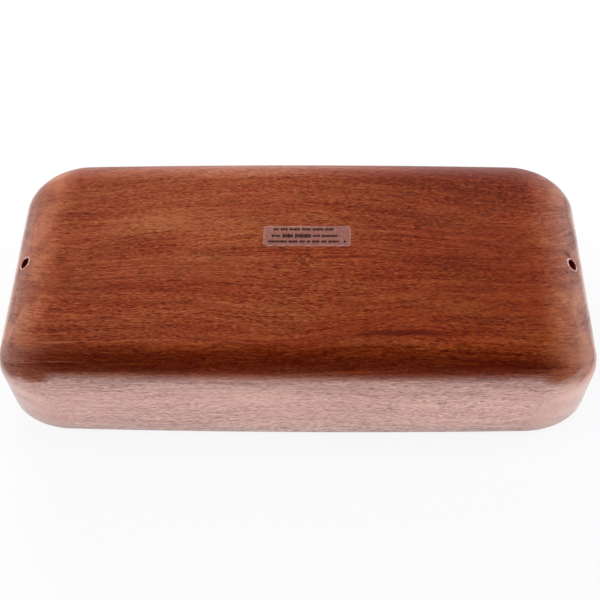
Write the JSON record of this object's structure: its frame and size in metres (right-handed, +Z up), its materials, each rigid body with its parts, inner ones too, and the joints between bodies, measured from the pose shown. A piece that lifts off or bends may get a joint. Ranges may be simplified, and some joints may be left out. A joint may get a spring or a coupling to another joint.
{
  "type": "wood block",
  "caption": "Concert wood block in lacquered mahogany: a thick rounded body over a thin playing plate, with a deep slot open on one long side and a port in each end.",
  "frame": {"origin": "middle of the playing face, which is the face the block lies on, upside down as pictured", "axes": "+X along the block, +Y towards the open side of the slot, +Z up to the rounded underside"},
  "size_m": [0.298, 0.143, 0.0575],
  "materials": {
    "lacquered_mahogany": "gloss lacquer over red-brown mahogany, grain along the block",
    "clear_film": "clear frosted self-adhesive film"
  },
  "bodies": {
    "root": {"playing_plate": "lacquered_mahogany", "closed_side_rail": "lacquered_mahogany", "left_end_rail": "lacquered_mahogany", "right_end_rail": "lacquered_mahogany", "body_block": "lacquered_mahogany", "clear_label": "clear_film"}
  },
  "joints": []
}
